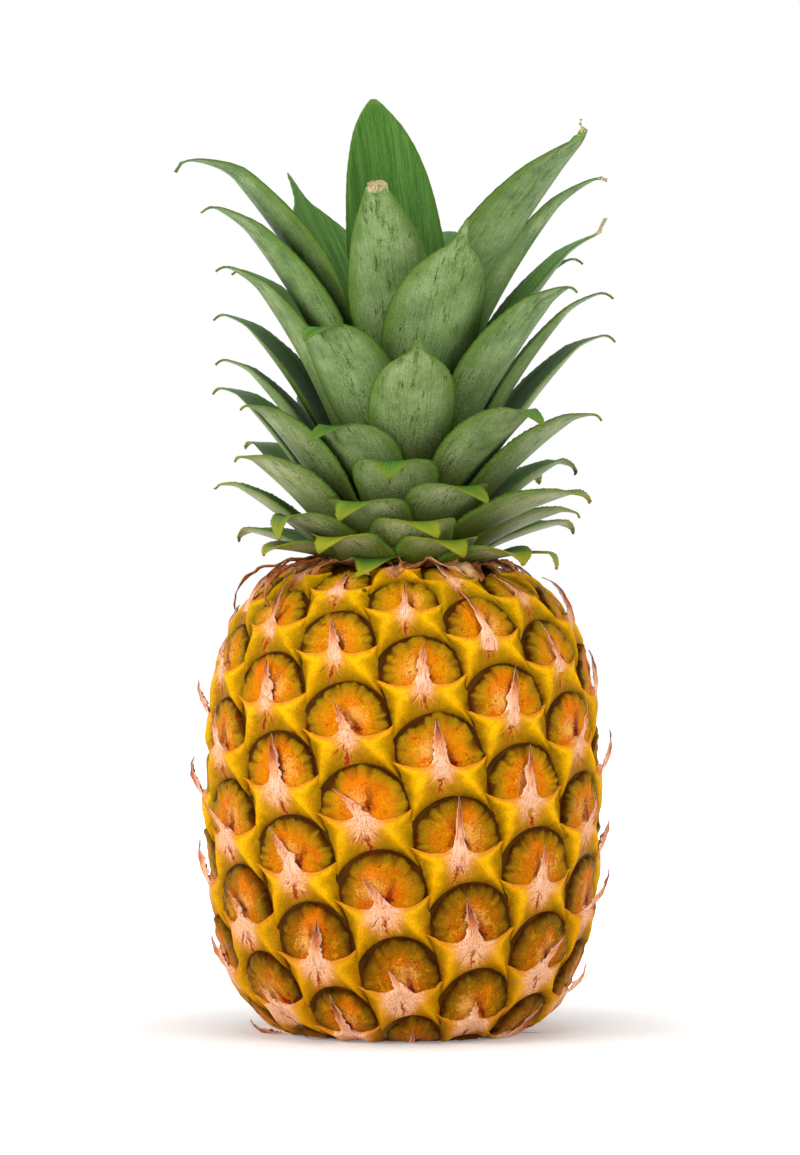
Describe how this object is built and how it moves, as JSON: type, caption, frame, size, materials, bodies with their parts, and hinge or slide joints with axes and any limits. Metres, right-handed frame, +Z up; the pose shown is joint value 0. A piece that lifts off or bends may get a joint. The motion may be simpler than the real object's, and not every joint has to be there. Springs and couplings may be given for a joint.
{
  "type": "pineapple",
  "caption": "Whole fresh pineapple standing on its base: spined rind in spiral rows of eyes, and an upright rosette of stiff pointed leaves.",
  "frame": {"origin": "middle of the stalk's cut end, on the surface that the fruit stands on", "axes": "+Z up along the fruit and its crown, -Y towards the front"},
  "size_m": [0.1418, 0.1316, 0.2974],
  "materials": {
    "rind": "waxy rind, orange and yellow eyes ringed with olive brown, cream bracts",
    "stalk": "cut fibrous stalk, drying",
    "crown_stem": "pale green fibrous stem",
    "leaf": "stiff leaf with a grey waxy bloom and yellow green margins",
    "dry_bract": "dry papery bract, brown and tan"
  },
  "bodies": {
    "root": {"fruit": "rind", "cut_stalk": "stalk", "crown_stem": "crown_stem", "crown_leaf_01": "leaf", "crown_leaf_02": "leaf", "crown_leaf_03": "leaf", "crown_leaf_04": "leaf", "crown_leaf_05": "leaf", "crown_leaf_06": "leaf", "crown_leaf_07": "leaf", "crown_leaf_08": "leaf", "crown_leaf_09": "leaf", "crown_leaf_10": "leaf", "crown_leaf_11": "leaf", "crown_leaf_12": "leaf", "crown_leaf_13": "leaf", "crown_leaf_14": "leaf", "crown_leaf_15": "leaf", "crown_leaf_16": "leaf", "crown_leaf_17": "leaf", "crown_leaf_18": "leaf", "crown_leaf_19": "leaf", "crown_leaf_20": "leaf", "crown_leaf_21": "leaf", "crown_leaf_22": "leaf", "crown_leaf_23": "leaf", "crown_leaf_24": "leaf", "crown_leaf_25": "leaf", "crown_leaf_26": "leaf", "crown_leaf_27": "leaf", "crown_leaf_28": "leaf", "crown_leaf_29": "leaf", "crown_leaf_30": "leaf", "crown_leaf_31": "leaf", "crown_leaf_32": "leaf", "crown_leaf_33": "leaf", "crown_leaf_34": "leaf", "crown_leaf_35": "leaf", "crown_leaf_36": "leaf", "crown_leaf_37": "leaf", "crown_leaf_38": "leaf", "crown_leaf_39": "leaf", "crown_leaf_40": "leaf", "crown_leaf_41": "leaf", "crown_leaf_42": "leaf", "crown_leaf_43": "leaf", "crown_leaf_44": "leaf", "crown_leaf_45": "leaf", "crown_leaf_46": "leaf", "crown_leaf_47": "leaf", "crown_leaf_48": "leaf", "crown_leaf_49": "leaf", "crown_leaf_50": "leaf", "crown_leaf_51": "leaf", "crown_leaf_52": "leaf", "dry_bract_01": "dry_bract", "dry_bract_02": "dry_bract", "dry_bract_03": "dry_bract", "dry_bract_04": "dry_bract", "dry_bract_05": "dry_bract"}
  },
  "joints": []
}
